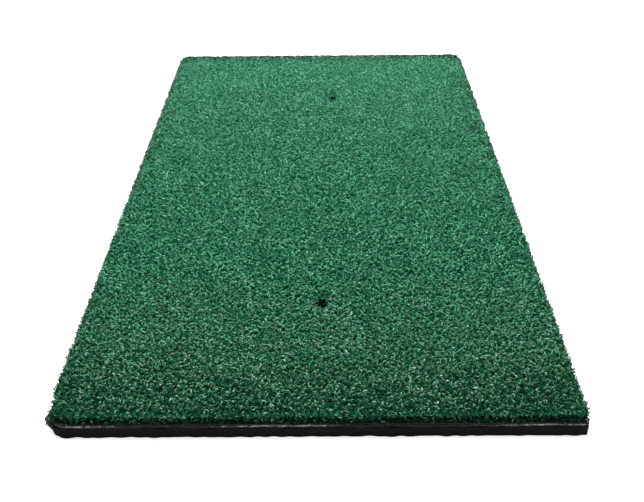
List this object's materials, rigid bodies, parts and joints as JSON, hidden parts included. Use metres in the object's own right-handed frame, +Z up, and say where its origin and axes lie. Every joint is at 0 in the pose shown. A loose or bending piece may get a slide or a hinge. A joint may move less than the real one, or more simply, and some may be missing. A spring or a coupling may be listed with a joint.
{
  "type": "golf hitting mat",
  "caption": "Flat rectangular practice mat with a dense turf pile on a foam base, punched through for rubber tees.",
  "frame": {"origin": "middle of the mat's underside, on the surface that it lies on", "axes": "+Z up out of the turf; +Y along the mat's length, from the end with the cut corner to the other end; +X across its width"},
  "size_m": [0.305, 0.61, 0.0163],
  "materials": {
    "black_foam": "matt closed-cell foam with knife-cut edges",
    "adhesive": "thin dull glue film",
    "latex": "chalky filled latex",
    "woven_backing": "black plain-woven tape cloth",
    "green_nylon_pile": "dense crimped nylon yarn, softly shiny"
  },
  "bodies": {
    "root": {"foam_base": "black_foam", "adhesive_film": "adhesive", "latex_coat": "latex", "backing_cloth": "woven_backing", "turf_pile": "green_nylon_pile"}
  },
  "joints": []
}
